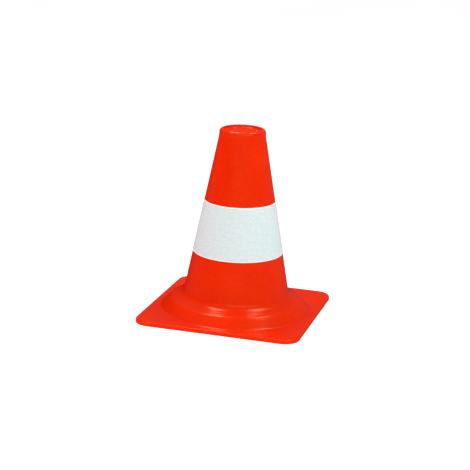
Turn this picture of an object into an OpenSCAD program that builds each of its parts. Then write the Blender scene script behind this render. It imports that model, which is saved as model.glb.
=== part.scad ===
// Traffic cone, small size, with one reflective sleeve.
// Millimetres, +Z up. The origin is on the ground, under the middle of the cone.

/* [Cone] */
// Height of the whole cone above the ground
height = 300; // [280:1:320]
// Radius that the tapered wall would have at ground level
wall_bottom_r = 91; // [88:0.5:94]
// Radius that the tapered wall would have at the full height
wall_top_r = 34.8; // [33:0.2:34.8]
// Thickness of the moulded skin
skin = 2.5; // [2:0.1:3]

/* [Top] */
// Outer radius of the upright collar at the top
collar_r = 36.9; // [36.9:0.1:38]
// Height of that collar
collar_h = 10; // [8:0.5:10]
// Thickness of the rolled rim, measured across
rim_w = 7.5; // [6.5:0.25:9]
// Depth of the shallow dish inside the rim
dish_depth = 4; // [4:0.5:8]
// Radius of the round pip that the moulding gate leaves in the dish
gate_r = 3.5; // [2:0.25:3.5]
// Height of that pip
gate_h = 1.4; // [0.6:0.1:1.6]

/* [Base] */
// Side of the square flange
flange_side = 264; // [260:1:280]
// Radius of the flange's corners
flange_corner_r = 25; // [15:1:40]
// Height of the flange above the ground
flange_h = 6.5; // [5:0.5:8]
// Radius at which the raised ring meets the flange
ring_foot_r = 121; // [118:0.5:124]
// Slope of the raised ring's outer side, in degrees
ring_side_slope = 45; // [40:1:50]
// Radius of the raised ring's shoulder, before it is rounded
ring_shoulder_r = 105.5; // [104:0.5:108]
// Slope of the raised ring's upper side, in degrees
ring_top_slope = 22; // [16:1:26]

/* [Underside] */
// Number of stiffening ribs under the raised ring
rib_count = 8; // [4:4:16]
// Thickness of a rib
rib_t = 2; // [1.5:0.25:3]
// Gap between the ribs' lower edges and the ground
rib_gap = 1.5; // [1:0.25:3]

/* [Sleeve] */
// Height of the sleeve's lower edge above the ground
sleeve_z = 101; // [60:1:120]
// Height of the sleeve, from its lower edge to its upper edge
sleeve_h = 84; // [60:1:100]
// Thickness of the white backing
backing_t = 0.45; // [0.3:0.05:1]
// Thickness of the reflective film
film_t = 0.25; // [0.15:0.05:0.5]
// White margin left above and below the film
film_margin = 1.6; // [1:0.1:4]
// Turn over which the ends of the film overlap, in degrees
film_overlap = 9; // [5:1:15]

/* [Hidden] */

orange = [0.93, 0.17, 0.01];
white = [0.95, 0.96, 0.96];
silver = [0.82, 0.85, 0.85];

round_fn = 128;
arc_steps = 8;
lap = 1;

// Fillets and rounded edges
dish_fillet = 2.5;
rim_inner_r = 1.4;
rim_outer_r = rim_w - rim_inner_r - 0.1;
collar_step_r = 0.2;
ring_top_fillet = 14;
ring_shoulder_fillet = 6;
ring_foot_fillet = 6;

// How far the wall leans in for each millimetre of height
taper = (wall_bottom_r - wall_top_r) / height;
lean = atan(taper);
collar_z = height - collar_h;
dish_floor = height - dish_depth;
ceiling = dish_floor - skin;

// Middle of the gate pip, right of the dish's middle and a little behind it
gate_at = [20.5, 10.5];

function wall_r(z) = wall_bottom_r - taper * z;
function unit(v) = v / norm(v);
function heading(a) = [cos(a), sin(a)];

// A line moved sideways by d, to the left of the way it points
function beside(p, a, d) = p + d * heading(a + 90);

// Where the line through p at angle a meets the line through q at angle b
function meet(p, a, q, b) =
    let (u = heading(a), v = heading(b), w = q - p)
    p + u * (w.x * v.y - w.y * v.x) / (u.x * v.y - u.y * v.x);

// The raised ring's corners, for a skin whose surface lies d inside the outer one
wall_dir = 90 + lean;
top_dir = 180 - ring_top_slope;
side_dir = 180 - ring_side_slope;
foot = [ring_foot_r, flange_h];
shoulder = [ring_shoulder_r, flange_h + (ring_foot_r - ring_shoulder_r) * tan(ring_side_slope)];
function ring_foot(d) = meet(beside(foot, side_dir, d), side_dir, [0, flange_h - d], 0);
function ring_shoulder(d) = meet(beside(foot, side_dir, d), side_dir, beside(shoulder, top_dir, d), top_dir);
function ring_root(d) =
    meet(beside(shoulder, top_dir, d), top_dir, beside([wall_bottom_r, 0], wall_dir, d), wall_dir);

// The corner b between a and c, rounded to radius r
function corner(a, b, c, r) =
    r <= 0 ? [b] :
    let (
        u = unit(a - b),
        v = unit(c - b),
        half = acos(u * v) / 2,
        centre = b + unit(u + v) * r / sin(half),
        from = b + u * r / tan(half) - centre,
        to = b + v * r / tan(half) - centre,
        turn = 180 - 2 * half
    )
    [for (i = [0:arc_steps])
        centre + (from * sin((1 - i / arc_steps) * turn) + to * sin(i / arc_steps * turn)) / sin(turn)];

// A path with each inner corner rounded to its own radius
function rounded(path, radii) =
    let (last = len(path) - 1)
    [for (i = [0:last])
        each (i == 0 || i == last) ? [path[i]] : corner(path[i - 1], path[i], path[i + 1], radii[i])];

// Outer outline, from the middle of the dish to the flange, which hides its end
ring_end_r = ring_foot_r + ring_foot_fillet;
outer_path = [
    [0, dish_floor],
    [collar_r - rim_w, dish_floor],
    [collar_r - rim_w, height],
    [collar_r, height],
    [collar_r, collar_z],
    [wall_r(collar_z), collar_z],
    ring_root(0),
    ring_shoulder(0),
    ring_foot(0),
    [ring_end_r, flange_h],
    [ring_end_r, flange_h - lap],
    [0, flange_h - lap]
];
outer_radii = [0, dish_fillet, rim_inner_r, rim_outer_r, collar_step_r, 0, ring_top_fillet,
    ring_shoulder_fillet, ring_foot_fillet, 0, 0, 0];

// Inner outline, from the middle of the ceiling to the inside of the ring
inner_path = [
    [0, ceiling],
    [wall_r(ceiling) - skin / cos(lean), ceiling],
    ring_root(skin),
    ring_shoulder(skin),
    ring_foot(skin),
    [ring_foot(skin).x, 0],
    [0, 0]
];
inner_radii = [0, dish_fillet, ring_top_fillet + skin, ring_shoulder_fillet - skin, 0, 0, 0];

module turned(path) {
    rotate_extrude($fn = round_fn) polygon(path);
}

module square_plate(side, corner_r, h) {
    linear_extrude(h) {
        square([side, side - 2 * corner_r], center = true);
        square([side - 2 * corner_r, side], center = true);
        for (x = [-1, 1], y = [-1, 1])
            translate([x, y] * (side / 2 - corner_r)) circle(corner_r, $fn = round_fn);
    }
}

// The open space inside the moulding, before the ribs are left in it
module cavity() {
    turned(rounded(inner_path, inner_radii));
    translate([0, 0, -lap])
        square_plate(flange_side - 2 * skin, flange_corner_r - skin, flange_h - skin + lap);
    translate([0, 0, -lap]) cylinder(r = ring_foot(skin).x, h = 2 * lap, $fn = round_fn);
}

// Upright plates between the wall and the flange's skirt, clear of the hollow that cones stack in
module ribs() {
    for (i = [0:rib_count - 1])
        rotate(i * 360 / rib_count)
            translate([wall_bottom_r - skin / cos(lean), -rib_t / 2, rib_gap])
                cube([flange_side / 2, rib_t, shoulder.y + ring_top_fillet]);
}

// A low dome: the cap of a sphere that is gate_h high and gate_r wide
module gate_pip() {
    ball_r = (gate_r * gate_r + gate_h * gate_h) / (2 * gate_h);
    translate([gate_at.x, gate_at.y, dish_floor])
        intersection() {
            translate([0, 0, gate_h - ball_r]) sphere(ball_r, $fn = round_fn);
            translate([0, 0, -lap]) cylinder(r = gate_r, h = lap + gate_h, $fn = round_fn);
        }
}

module cone_body() {
    color(orange)
        difference() {
            union() {
                turned(rounded(outer_path, outer_radii));
                gate_pip();
                square_plate(flange_side, flange_corner_r, flange_h);
            }
            difference() {
                cavity();
                ribs();
            }
        }
}

// A sleeve of thickness t that lies d outside the tapered wall, from height low to height high
module wrap(d, t, low, high, turn = 360) {
    near = d / cos(lean);
    far = (d + t) / cos(lean);
    rotate_extrude(angle = turn, $fn = round_fn)
        polygon([
            [wall_r(low) + near, low],
            [wall_r(low) + far, low],
            [wall_r(high) + far, high],
            [wall_r(high) + near, high]
        ]);
}

module sleeve_backing() {
    color(white) wrap(0, backing_t, sleeve_z, sleeve_z + sleeve_h);
}

// The film goes once round, and its end lies over its start at the back
module reflective_film() {
    low = sleeve_z + film_margin;
    high = sleeve_z + sleeve_h - film_margin;
    color(silver) {
        wrap(backing_t, film_t, low, high);
        rotate(90 - film_overlap / 2) wrap(backing_t, 2 * film_t, low, high, film_overlap);
    }
}

cone_body();
sleeve_backing();
reflective_film();
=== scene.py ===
"""Looks of the traffic cone: one moulded body, a white sleeve backing and its reflective film."""

import math

import bmesh
import bpy
from mathutils import Matrix, Vector

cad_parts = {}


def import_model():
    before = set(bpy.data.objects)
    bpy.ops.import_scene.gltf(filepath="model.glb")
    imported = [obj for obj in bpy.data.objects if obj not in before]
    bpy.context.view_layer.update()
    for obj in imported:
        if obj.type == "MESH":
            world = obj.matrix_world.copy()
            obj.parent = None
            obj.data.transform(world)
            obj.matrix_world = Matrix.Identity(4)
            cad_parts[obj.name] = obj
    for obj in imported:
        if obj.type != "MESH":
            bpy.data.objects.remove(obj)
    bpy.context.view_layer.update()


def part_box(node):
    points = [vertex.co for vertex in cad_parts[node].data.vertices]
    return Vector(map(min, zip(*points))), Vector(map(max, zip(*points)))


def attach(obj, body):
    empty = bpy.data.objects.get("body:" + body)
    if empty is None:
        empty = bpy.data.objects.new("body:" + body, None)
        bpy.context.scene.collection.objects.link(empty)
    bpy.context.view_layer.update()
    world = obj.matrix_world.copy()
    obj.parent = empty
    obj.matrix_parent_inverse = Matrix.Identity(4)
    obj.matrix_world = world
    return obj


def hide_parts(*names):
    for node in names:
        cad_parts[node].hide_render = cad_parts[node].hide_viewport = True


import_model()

MM = 0.001

# ---------------------------------------------------------------- sizes, in millimetres unless said
# The boxes of the CAD nodes give the overall sizes. The driving sizes below them are part.scad's own.
BODY_LOW, BODY_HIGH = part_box("cone_body")
BACKING_LOW, BACKING_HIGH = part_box("sleeve_backing")
FILM_LOW, FILM_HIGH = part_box("reflective_film")

HEIGHT = BODY_HIGH[2] / MM
FLANGE_SIDE = (BODY_HIGH[0] - BODY_LOW[0]) / MM
SLEEVE_LOW, SLEEVE_HIGH = BACKING_LOW[2] / MM, BACKING_HIGH[2] / MM
STRIP_LOW, STRIP_HIGH = FILM_LOW[2] / MM, FILM_HIGH[2] / MM

WALL_BOTTOM_R = 91.0
WALL_TOP_R = 34.8
SKIN = 2.5
COLLAR_R = 36.9
COLLAR_H = 10.0
RIM_W = 7.5
DISH_DEPTH = 4.0
GATE_AT = (20.5, 10.5)
GATE_R = 3.5
GATE_H = 1.4
FLANGE_CORNER_R = 25.0
FLANGE_H = 6.5
RING_FOOT_R = 121.0
RING_SIDE_SLOPE = 45.0
RING_SHOULDER_R = 105.5
RING_TOP_SLOPE = 22.0
RIB_COUNT = 8
RIB_T = 2.0
RIB_GAP = 1.5
BACKING_T = 0.45
FILM_T = 0.25
FILM_OVERLAP = 9.0
FILM_GRAIN_ANGLE = -28.0

# Fillets and rounded edges
DISH_FILLET = 2.5
RIM_INNER_ROUND = 1.4
RIM_OUTER_ROUND = RIM_W - RIM_INNER_ROUND - 0.1
COLLAR_STEP_ROUND = 0.2
RING_TOP_FILLET = 14.0
RING_SHOULDER_FILLET = 6.0
RING_FOOT_FILLET = 6.0
EDGE_TOP_ROUND = 1.8
EDGE_BOTTOM_ROUND = 0.7
SKIRT_FILLET = 1.2
INNER_FOOT_FILLET = 1.5
BACKING_OUTER_ROUND = 0.15
BACKING_INNER_ROUND = 0.01

# How finely the meshes are divided
MIDDLE_R = 2.0        # radius of the smallest ring, which closes on a point
TURNS = 288           # points round each ring of the body
ARC_STEP = 7.0        # degrees between the points of a rounded corner
OUTLINE_STEP = 6.0    # longest step along the body's outline
EDGE_STEP = 1.5       # longest step round the flange's edge
BLEND_STEPS = 4       # rings from the raised ring's circle to the flange's rounded square
FLAT_MARGIN = 2.0     # from each corner under the flange to the first point on the flat
JUST_UNDER = 0.999    # keeps an arc from starting on the point before it
PIP_TURNS = 48        # points round each ring of the gate pip
PIP_RINGS = 8
PIP_ROOT = 1.15       # share of its visible angle that the pip's dome spans, so its foot is buried
FILM_STEPS = 400      # sections along the film
FILM_CLIMB = 3.0      # degrees over which its end climbs over its start
SHARP_ANGLE = 40.0    # degrees between two faces above which their edge stays sharp

TAPER = (WALL_BOTTOM_R - WALL_TOP_R) / HEIGHT
LEAN = math.degrees(math.atan(TAPER))
COS_LEAN = math.cos(math.radians(LEAN))
COLLAR_Z = HEIGHT - COLLAR_H
DISH_FLOOR = HEIGHT - DISH_DEPTH
CEILING = DISH_FLOOR - SKIN
FILM_MID_R = WALL_BOTTOM_R - TAPER * (STRIP_LOW + STRIP_HIGH) / 2


# ---------------------------------------------------------------- outline
def wall_r(z):
    return WALL_BOTTOM_R - TAPER * z


def heading(angle):
    return Vector((math.cos(math.radians(angle)), math.sin(math.radians(angle))))


def beside(point, angle, distance):
    """A line through point at angle, moved sideways to the left of the way it points."""
    return point + heading(angle + 90) * distance


def meet(p, a, q, b):
    """Where the line through p at angle a meets the line through q at angle b."""
    u, v, w = heading(a), heading(b), q - p
    return p + u * (w.x * v.y - w.y * v.x) / (u.x * v.y - u.y * v.x)


WALL_DIR = 90 + LEAN
TOP_DIR = 180 - RING_TOP_SLOPE
SIDE_DIR = 180 - RING_SIDE_SLOPE
FOOT = Vector((RING_FOOT_R, FLANGE_H))
SHOULDER_Z = FLANGE_H + (RING_FOOT_R - RING_SHOULDER_R) * math.tan(math.radians(RING_SIDE_SLOPE))
SHOULDER = Vector((RING_SHOULDER_R, SHOULDER_Z))
WALL_FOOT = Vector((WALL_BOTTOM_R, 0))


def ring_foot(d):
    return meet(beside(FOOT, SIDE_DIR, d), SIDE_DIR, Vector((0, FLANGE_H - d)), 0)


def ring_shoulder(d):
    return meet(beside(FOOT, SIDE_DIR, d), SIDE_DIR, beside(SHOULDER, TOP_DIR, d), TOP_DIR)


def ring_root(d):
    return meet(beside(SHOULDER, TOP_DIR, d), TOP_DIR, beside(WALL_FOOT, WALL_DIR, d), WALL_DIR)


def rounded(path):
    """path is a list of (point, radius). Each inner corner comes back as an arc of its radius."""
    points = []
    for i, (b, radius) in enumerate(path):
        if radius <= 0 or i in (0, len(path) - 1):
            points.append(b.copy())
            continue
        u = (path[i - 1][0] - b).normalized()
        v = (path[i + 1][0] - b).normalized()
        half = math.acos(max(-1, min(1, u.dot(v)))) / 2
        centre = b + (u + v).normalized() * radius / math.sin(half)
        start = b + u * radius / math.tan(half) - centre
        end = b + v * radius / math.tan(half) - centre
        turn = math.pi - 2 * half
        steps = max(3, round(math.degrees(turn) / ARC_STEP))
        for k in range(steps + 1):
            t = k / steps
            reach = start * math.sin((1 - t) * turn) + end * math.sin(t * turn)
            points.append(centre + reach / math.sin(turn))
    return points


def divided(points, longest):
    """The same path with points added so that no step is longer than longest."""
    out = [points[0]]
    for a, b in zip(points, points[1:]):
        steps = max(1, math.ceil((b - a).length / longest))
        out += [a.lerp(b, k / steps) for k in range(1, steps + 1)]
    return out


# ---------------------------------------------------------------- mesh helpers
def new_object(name, bm, material):
    bmesh.ops.recalc_face_normals(bm, faces=bm.faces)
    mesh = bpy.data.meshes.new(name)
    bm.to_mesh(mesh)
    bm.free()
    mesh.materials.append(material)
    obj = bpy.data.objects.new(name, mesh)
    bpy.context.scene.collection.objects.link(obj)
    return obj


def smooth(obj):
    mesh = obj.data
    mesh.shade_smooth()
    mesh.set_sharp_from_angle(angle=math.radians(SHARP_ANGLE))


def bridge(bm, lower, upper):
    """Quads between two closed rings with the same number of vertices."""
    count = len(lower)
    for i in range(count):
        j = (i + 1) % count
        bm.faces.new((lower[i], lower[j], upper[j], upper[i]))


def square_r(angle, side, corner):
    """How far out the edge of a rounded square is, at an angle in radians."""
    c, s = abs(math.cos(angle)), abs(math.sin(angle))
    half, core = side / 2, side / 2 - corner
    big, small = max(c, s), min(c, s)
    if half * small / big <= core:
        return half / big
    along = core * (c + s)
    return along + math.sqrt(max(0, along * along - 2 * core * core + corner * corner))


def ring_points(shape):
    """The points of one ring: a circle, or a blend from a circle to a rounded square."""
    r, z, square = shape
    points = []
    for i in range(TURNS):
        a = 2 * math.pi * i / TURNS
        reach = r
        if square:
            side, corner, share = square
            reach = r * (1 - share) + square_r(a, side, corner) * share
        points.append(Vector((reach * math.cos(a), reach * math.sin(a), z)))
    return points


# ---------------------------------------------------------------- cone body
def body_rings():
    """Rings from the middle of the dish, down the outside and back up the inside to the ceiling."""
    outside = rounded([
        (Vector((MIDDLE_R, DISH_FLOOR)), 0),
        (Vector((COLLAR_R - RIM_W, DISH_FLOOR)), DISH_FILLET),
        (Vector((COLLAR_R - RIM_W, HEIGHT)), RIM_INNER_ROUND),
        (Vector((COLLAR_R, HEIGHT)), RIM_OUTER_ROUND),
        (Vector((COLLAR_R, COLLAR_Z)), COLLAR_STEP_ROUND),
        (Vector((wall_r(COLLAR_Z), COLLAR_Z)), 0),
        (ring_root(0), RING_TOP_FILLET),
        (ring_shoulder(0), RING_SHOULDER_FILLET),
        (ring_foot(0), RING_FOOT_FILLET),
        (Vector((RING_FOOT_R + RING_FOOT_FILLET / 2, FLANGE_H)), 0),
    ])
    inside = rounded([
        (Vector((ring_foot(SKIN).x + FLAT_MARGIN, FLANGE_H - SKIN)), 0),
        (ring_foot(SKIN), INNER_FOOT_FILLET),
        (ring_shoulder(SKIN), RING_SHOULDER_FILLET - SKIN),
        (ring_root(SKIN), RING_TOP_FILLET + SKIN),
        (Vector((wall_r(CEILING) - SKIN / COS_LEAN, CEILING)), DISH_FILLET),
        (Vector((MIDDLE_R, CEILING)), 0),
    ])
    rings = [(p.x, p.y, None) for p in divided(outside, OUTLINE_STEP)]
    start = rings[-1][0]
    top_side = FLANGE_SIDE - 2 * EDGE_TOP_ROUND
    top_corner = FLANGE_CORNER_R - EDGE_TOP_ROUND
    for k in range(1, BLEND_STEPS + 1):
        rings.append((start, FLANGE_H, (top_side, top_corner, k / BLEND_STEPS)))
    edge = rounded([
        (Vector((-EDGE_TOP_ROUND, FLANGE_H)), 0),
        (Vector((0, FLANGE_H)), EDGE_TOP_ROUND * JUST_UNDER),
        (Vector((0, 0)), EDGE_BOTTOM_ROUND),
        (Vector((-SKIN, 0)), EDGE_BOTTOM_ROUND),
        (Vector((-SKIN, FLANGE_H - SKIN)), SKIRT_FILLET),
        (Vector((-SKIN - FLAT_MARGIN, FLANGE_H - SKIN)), 0),
    ])
    for p in divided(edge, EDGE_STEP)[1:]:
        rings.append((0, p.y, (FLANGE_SIDE + 2 * p.x, FLANGE_CORNER_R + p.x, 1)))
    low_side = FLANGE_SIDE - 2 * SKIN - 2 * FLAT_MARGIN
    low_corner = FLANGE_CORNER_R - SKIN - FLAT_MARGIN
    start = inside[0].x
    for k in range(BLEND_STEPS - 1, 0, -1):
        rings.append((start, FLANGE_H - SKIN, (low_side, low_corner, k / BLEND_STEPS)))
    rings += [(p.x, p.y, None) for p in divided(inside, OUTLINE_STEP)]
    return rings


def rib_prism(bm, angle):
    """One upright rib, its top edge buried in the middle of the skin."""
    mid = SKIN / 2
    inner = WALL_BOTTOM_R - SKIN / COS_LEAN
    root, shoulder = ring_root(mid), ring_shoulder(mid)
    inner_top = root.y + (shoulder.y - root.y) * (inner - root.x) / (shoulder.x - root.x)
    reach = square_r(angle, FLANGE_SIDE - SKIN, FLANGE_CORNER_R - mid)
    outline = [
        (inner, RIB_GAP), (reach, RIB_GAP), (reach, FLANGE_H - mid),
        (ring_foot(mid).x, FLANGE_H - mid), (shoulder.x, shoulder.y), (inner, inner_top),
    ]
    turn = Matrix.Rotation(angle, 3, "Z")
    sides = [
        [bm.verts.new(turn @ Vector((r, side * RIB_T / 2, z)) * MM) for r, z in outline]
        for side in (-1, 1)
    ]
    bridge(bm, sides[0], sides[1])
    bm.faces.new(sides[0])
    bm.faces.new(reversed(sides[1]))


def gate_pip(bm):
    """A low dome on the dish's floor, its foot just under the surface."""
    ball_r = (GATE_R ** 2 + GATE_H ** 2) / (2 * GATE_H)
    edge = math.asin(GATE_R / ball_r)
    centre = Vector((*GATE_AT, DISH_FLOOR + GATE_H - ball_r))
    rings = []
    for k in range(PIP_RINGS, 0, -1):
        a = edge * PIP_ROOT * k / PIP_RINGS
        r, z = ball_r * math.sin(a), ball_r * math.cos(a)
        rings.append([
            bm.verts.new((centre + Vector((r * math.cos(t), r * math.sin(t), z))) * MM)
            for t in (2 * math.pi * i / PIP_TURNS for i in range(PIP_TURNS))
        ])
    for lower, upper in zip(rings, rings[1:]):
        bridge(bm, lower, upper)
    bm.faces.new(reversed(rings[0]))
    bm.faces.new(rings[-1])


def make_body(material):
    bm = bmesh.new()
    rings = [[bm.verts.new(p * MM) for p in ring_points(shape)] for shape in body_rings()]
    for lower, upper in zip(rings, rings[1:]):
        bridge(bm, lower, upper)
    for ring, z in ((rings[0], DISH_FLOOR), (rings[-1], CEILING)):
        middle = bm.verts.new(Vector((0, 0, z)) * MM)
        for i in range(TURNS):
            bm.faces.new((ring[i], ring[(i + 1) % TURNS], middle))
    body = new_object("cone_moulding", bm, material)

    added = bmesh.new()
    for i in range(RIB_COUNT):
        rib_prism(added, 2 * math.pi * i / RIB_COUNT)
    gate_pip(added)
    cutter = new_object("ribs_and_pip", added, material)
    union = body.modifiers.new("ribs_and_pip", "BOOLEAN")
    union.operation = "UNION"
    union.solver = "EXACT"
    union.object = cutter
    depsgraph = bpy.context.evaluated_depsgraph_get()
    mesh = bpy.data.meshes.new_from_object(body.evaluated_get(depsgraph))
    body.modifiers.clear()
    body.data = mesh
    bpy.data.objects.remove(cutter)
    smooth(body)
    return body


# ---------------------------------------------------------------- sleeve
def make_backing(material):
    """A closed band on the wall. Its outline starts and ends halfway up its inner side."""
    bm = bmesh.new()
    middle = Vector((0, (SLEEVE_LOW + SLEEVE_HIGH) / 2))
    outline = rounded([
        (middle, 0),
        (Vector((0, SLEEVE_LOW)), BACKING_INNER_ROUND),
        (Vector((BACKING_T, SLEEVE_LOW)), BACKING_OUTER_ROUND),
        (Vector((BACKING_T, SLEEVE_HIGH)), BACKING_OUTER_ROUND),
        (Vector((0, SLEEVE_HIGH)), BACKING_INNER_ROUND),
        (middle, 0),
    ])
    rings = [
        [bm.verts.new(p * MM) for p in ring_points((wall_r(q.y) + q.x / COS_LEAN, q.y, None))]
        for q in outline[:-1]
    ]
    for lower, upper in zip(rings, rings[1:] + rings[:1]):
        bridge(bm, lower, upper)
    backing = new_object("sleeve_backing_vinyl", bm, material)
    smooth(backing)
    return backing


def make_film(material):
    """One strip that goes once round and ends over its own start, at the back."""
    bm = bmesh.new()
    first = 90 - FILM_OVERLAP / 2
    last = 450 + FILM_OVERLAP / 2
    sections = []
    for i in range(FILM_STEPS + 1):
        angle = first + (last - first) * i / FILM_STEPS
        climb = min(1, max(0, (angle - (360 + first - FILM_CLIMB)) / FILM_CLIMB))
        lift = BACKING_T + FILM_T * climb * climb * (3 - 2 * climb)
        turn = Matrix.Rotation(math.radians(angle), 3, "Z")
        section = []
        for z, out in (
            (STRIP_LOW, 0), (STRIP_LOW, FILM_T),
            ((STRIP_LOW + STRIP_HIGH) / 2, FILM_T),
            (STRIP_HIGH, FILM_T), (STRIP_HIGH, 0),
        ):
            r = wall_r(z) + (lift + out) / COS_LEAN
            section.append(bm.verts.new(turn @ Vector((r, 0, z)) * MM))
        sections.append(section)
    for a, b in zip(sections, sections[1:]):
        bridge(bm, a, b)
    bm.faces.new(sections[0])
    bm.faces.new(reversed(sections[-1]))
    film = new_object("reflective_strip", bm, material)
    smooth(film)
    return film


# ---------------------------------------------------------------- materials
class Nodes:
    """Short names for building one material's nodes."""

    def __init__(self, name):
        self.material = bpy.data.materials.new(name)
        self.material.use_nodes = True
        self.tree = self.material.node_tree
        self.shader = self.tree.nodes["Principled BSDF"]
        self.place = self.tree.nodes.new("ShaderNodeTexCoord").outputs["Object"]

    def link(self, output, target):
        self.tree.links.new(output, target)

    def noise(self, scale, detail=4, roughness=0.5, place=None):
        node = self.tree.nodes.new("ShaderNodeTexNoise")
        node.inputs["Scale"].default_value = scale
        node.inputs["Detail"].default_value = detail
        node.inputs["Roughness"].default_value = roughness
        self.link(place or self.place, node.inputs["Vector"])
        return node.outputs["Fac"]

    def math(self, operation, a, b):
        node = self.tree.nodes.new("ShaderNodeMath")
        node.operation = operation
        for socket, value in zip(node.inputs, (a, b)):
            if isinstance(value, (int, float)):
                socket.default_value = value
            else:
                self.link(value, socket)
        return node.outputs["Value"]

    def blend(self, a, b):
        return self.math("MULTIPLY", self.math("ADD", a, b), 0.5)

    def unrolled(self, radius, tilt):
        """Distance round a cylinder from its front, and height, turned by tilt degrees.

        The seam is at the back.
        """
        split = self.tree.nodes.new("ShaderNodeSeparateXYZ")
        self.link(self.place, split.inputs["Vector"])
        angle = self.math("ARCTAN2", split.outputs["X"], self.math("MULTIPLY", split.outputs["Y"], -1))
        flat = self.tree.nodes.new("ShaderNodeCombineXYZ")
        self.link(self.math("MULTIPLY", angle, radius), flat.inputs["X"])
        self.link(split.outputs["Z"], flat.inputs["Y"])
        turned = self.tree.nodes.new("ShaderNodeVectorRotate")
        turned.rotation_type = "Z_AXIS"
        turned.inputs["Angle"].default_value = math.radians(tilt)
        self.link(flat.outputs["Vector"], turned.inputs["Vector"])
        return turned.outputs["Vector"]

    def stretched(self, place, scale):
        node = self.tree.nodes.new("ShaderNodeMapping")
        node.inputs["Scale"].default_value = scale
        self.link(place, node.inputs["Vector"])
        return node.outputs["Vector"]

    def ramp(self, value, stops):
        node = self.tree.nodes.new("ShaderNodeValToRGB")
        elements = node.color_ramp.elements
        while len(elements) < len(stops):
            elements.new(0.5)
        for element, (at, colour) in zip(elements, stops):
            element.position = at
            element.color = (*colour, 1)
        self.link(value, node.inputs["Fac"])
        return node.outputs["Color"]

    def span(self, value, low, high):
        node = self.tree.nodes.new("ShaderNodeMapRange")
        node.inputs["To Min"].default_value = low
        node.inputs["To Max"].default_value = high
        self.link(value, node.inputs["Value"])
        return node.outputs["Result"]

    def bump(self, height, strength, distance, under=None):
        node = self.tree.nodes.new("ShaderNodeBump")
        node.inputs["Strength"].default_value = strength
        node.inputs["Distance"].default_value = distance
        self.link(height, node.inputs["Height"])
        if under:
            self.link(under, node.inputs["Normal"])
        return node.outputs["Normal"]


def orange_plastic():
    """Soft moulded PVC: cloudy colour, a fine pebbled skin and faint level marks from the turned mould."""
    n = Nodes("fluorescent_orange_pvc")
    cloud = n.blend(n.noise(22, 3), n.noise(170, 4, 0.65))
    tint = n.ramp(cloud, [
        (0.36, (0.655, 0.0145, 0.0003)),
        (0.50, (0.688, 0.0175, 0.0003)),
        (0.64, (0.720, 0.0205, 0.0004)),
    ])
    n.link(tint, n.shader.inputs["Base Color"])
    n.link(n.span(n.noise(60, 5, 0.6), 0.14, 0.27), n.shader.inputs["Roughness"])
    n.shader.inputs["IOR"].default_value = 1.46
    n.shader.inputs["Specular IOR Level"].default_value = 0.30
    n.shader.inputs["Specular Tint"].default_value = (1.0, 0.90, 0.35, 1)
    ripple = n.bump(n.noise(28, 2), 0.25, 0.0006)
    mould_marks = n.noise(1, 2, 0.5, n.stretched(n.place, (9, 9, 420)))
    marks = n.bump(mould_marks, 0.10, 0.0004, ripple)
    n.link(n.bump(n.noise(1100, 3, 0.6), 0.16, 0.0001, marks), n.shader.inputs["Normal"])
    return n.material


def white_vinyl():
    """Satin sheet with a slightly uneven surface."""
    n = Nodes("white_vinyl")
    tint = n.ramp(n.noise(90, 4), [(0.3, (0.84, 0.86, 0.87)), (0.7, (0.92, 0.93, 0.94))])
    n.link(tint, n.shader.inputs["Base Color"])
    n.link(n.span(n.noise(250, 3), 0.35, 0.5), n.shader.inputs["Roughness"])
    n.link(n.bump(n.noise(1500, 2), 0.1, 0.0001), n.shader.inputs["Normal"])
    return n.material


def bead_film():
    """Pale film with a slanting grain pressed into it and fine beads all over."""
    n = Nodes("glass_bead_film")
    strip = n.unrolled(FILM_MID_R * MM, FILM_GRAIN_ANGLE)
    streaks = n.noise(1, 4, 0.6, n.stretched(strip, (125, 620, 1)))
    beads = n.noise(1, 2, 0.7, n.stretched(strip, (900, 900, 1)))
    tint = n.ramp(n.blend(streaks, beads), [
        (0.34, (0.495, 0.575, 0.585)),
        (0.50, (0.585, 0.690, 0.692)),
        (0.66, (0.675, 0.790, 0.790)),
    ])
    n.link(tint, n.shader.inputs["Base Color"])
    n.link(n.span(streaks, 0.40, 0.56), n.shader.inputs["Roughness"])
    pressed = n.bump(streaks, 0.15, 0.0002)
    n.link(n.bump(beads, 0.30, 0.0001, pressed), n.shader.inputs["Normal"])
    return n.material


# ---------------------------------------------------------------- studio
HORIZON_LIGHT = 1.0
ZENITH_LIGHT = 1.22
FLOOR_R = 12.0              # metres
FLOOR_GLOW = 0.19
MIRRORED_FRONT = 0.02
MIRRORED_BACK = 0.08
LAMPS_AIM = (0, 0, 0.05)    # metres
# From low on the left to high on the right
ROOM_COLOURS = [
    (0.00, (0.75, 0.10, 0.10)),
    (0.28, (0.82, 0.08, 0.07)),
    (0.40, (0.98, 0.66, 0.64)),
    (0.50, (1.00, 1.00, 1.00)),
    (1.00, (0.66, 0.68, 0.68)),
]


def area_light(name, place, width, height, power):
    """A rectangular lamp. Its place and size are in metres, and it points at LAMPS_AIM."""
    data = bpy.data.lights.new(name, "AREA")
    data.shape = "RECTANGLE"
    data.size, data.size_y = width, height
    data.energy = power
    lamp = bpy.data.objects.new(name, data)
    lamp.location = place
    lamp.rotation_mode = "QUATERNION"
    lamp.rotation_quaternion = (Vector(LAMPS_AIM) - Vector(place)).to_track_quat("-Z", "Y")
    bpy.context.scene.collection.objects.link(lamp)


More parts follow.
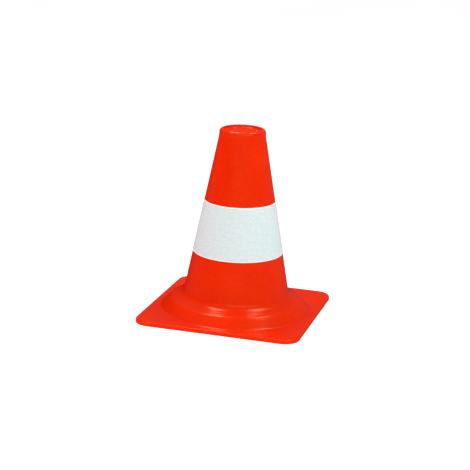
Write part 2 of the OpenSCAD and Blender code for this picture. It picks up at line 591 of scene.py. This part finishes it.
def floor():
    """A wide pale disc that glows a little and isn't mirrored in the cone."""
    bm = bmesh.new()
    bmesh.ops.create_circle(bm, cap_ends=True, radius=FLOOR_R, segments=96)
    n = Nodes("pale_floor")
    tint = n.ramp(n.noise(3, 2), [(0.3, (0.96, 0.96, 0.96)), (0.7, (0.98, 0.98, 0.98))])
    n.link(tint, n.shader.inputs["Base Color"])
    n.shader.inputs["Roughness"].default_value = 0.9
    n.shader.inputs["Specular IOR Level"].default_value = 0.0
    n.link(tint, n.shader.inputs["Emission Color"])
    n.shader.inputs["Emission Strength"].default_value = FLOOR_GLOW
    plane = new_object("studio_floor", bm, n.material)
    plane.visible_glossy = False


def world():
    """A bright room, red on its left side, dim in glossy surfaces and white to the camera."""
    room = bpy.data.worlds.new("studio_room")
    bpy.context.scene.world = room
    room.use_nodes = True
    room.cycles.sampling_method = "NONE"
    nodes, links = room.node_tree.nodes, room.node_tree.links

    def span(value, low, high, start, end):
        node = nodes.new("ShaderNodeMapRange")
        for socket, number in (("From Min", low), ("From Max", high), ("To Min", start), ("To Max", end)):
            node.inputs[socket].default_value = number
        links.new(value, node.inputs["Value"])
        return node

    split = nodes.new("ShaderNodeSeparateXYZ")
    links.new(nodes.new("ShaderNodeTexCoord").outputs["Generated"], split.inputs["Vector"])
    right_or_up = nodes.new("ShaderNodeMath")
    links.new(split.outputs["X"], right_or_up.inputs[0])
    links.new(split.outputs["Z"], right_or_up.inputs[1])
    across = span(right_or_up.outputs["Value"], -1, 1, 0, 1)
    ramp = nodes.new("ShaderNodeValToRGB")
    elements = ramp.color_ramp.elements
    while len(elements) < len(ROOM_COLOURS):
        elements.new(0.5)
    for element, (at, colour) in zip(elements, ROOM_COLOURS):
        element.position = at
        element.color = (*colour, 1)
    links.new(across.outputs["Result"], ramp.inputs["Fac"])
    lit = span(split.outputs["Z"], 0, 1, HORIZON_LIGHT, ZENITH_LIGHT)
    mirrored = span(split.outputs["Y"], -1, 1, MIRRORED_FRONT, MIRRORED_BACK)
    path = nodes.new("ShaderNodeLightPath")
    strength = span(path.outputs["Is Glossy Ray"], 0, 1, 0, 0)
    links.new(lit.outputs["Result"], strength.inputs["To Min"])
    links.new(mirrored.outputs["Result"], strength.inputs["To Max"])
    seen = nodes.new("ShaderNodeMix")
    seen.data_type = "RGBA"
    seen.inputs["B"].default_value = (1, 1, 1, 1)
    background = nodes["Background"]
    links.new(path.outputs["Is Camera Ray"], seen.inputs["Factor"])
    links.new(ramp.outputs["Color"], seen.inputs["A"])
    links.new(seen.outputs["Result"], background.inputs["Color"])
    links.new(strength.outputs["Result"], background.inputs["Strength"])


def camera():
    """In front, a little to the right and above, aimed near the axis, with the frame tilted slightly."""
    azimuth, elevation, roll = math.radians(15.20), math.radians(15.52), math.radians(2.31)
    aim, distance = Vector((-5.4, -1.5, 125.8)) * MM, 2.243
    lens_px, frame_px, sensor = 1400, 470, 36
    data = bpy.data.cameras.new("camera")
    data.sensor_width = sensor
    data.lens = lens_px / frame_px * sensor
    data.clip_start, data.clip_end = 0.01, 50
    cam = bpy.data.objects.new("camera", data)
    back = Vector((
        math.sin(azimuth) * math.cos(elevation),
        -math.cos(azimuth) * math.cos(elevation),
        math.sin(elevation),
    ))
    cam.location = aim + back * distance
    cam.rotation_mode = "QUATERNION"
    level = (-back).to_track_quat("-Z", "Y")
    cam.rotation_quaternion = level @ Matrix.Rotation(roll, 3, "Z").to_quaternion()
    bpy.context.scene.collection.objects.link(cam)
    bpy.context.scene.camera = cam


# ---------------------------------------------------------------- build
body = make_body(orange_plastic())
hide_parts("cone_body")
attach(body, "root")

backing = make_backing(white_vinyl())
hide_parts("sleeve_backing")
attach(backing, "root")

film = make_film(bead_film())
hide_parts("reflective_film")
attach(film, "root")

floor()
world()
area_light("top_left", place=(-0.44, 0.27, 1.50), width=0.81, height=0.36, power=9.0)
area_light("top_right", place=(0.53, 0.27, 1.50), width=0.85, height=0.36, power=7.8)
area_light("front_strip", place=(0.84, -1.64, 1.20), width=2.6, height=0.5, power=9.0)
camera()
bpy.context.scene.view_settings.view_transform = "Standard"
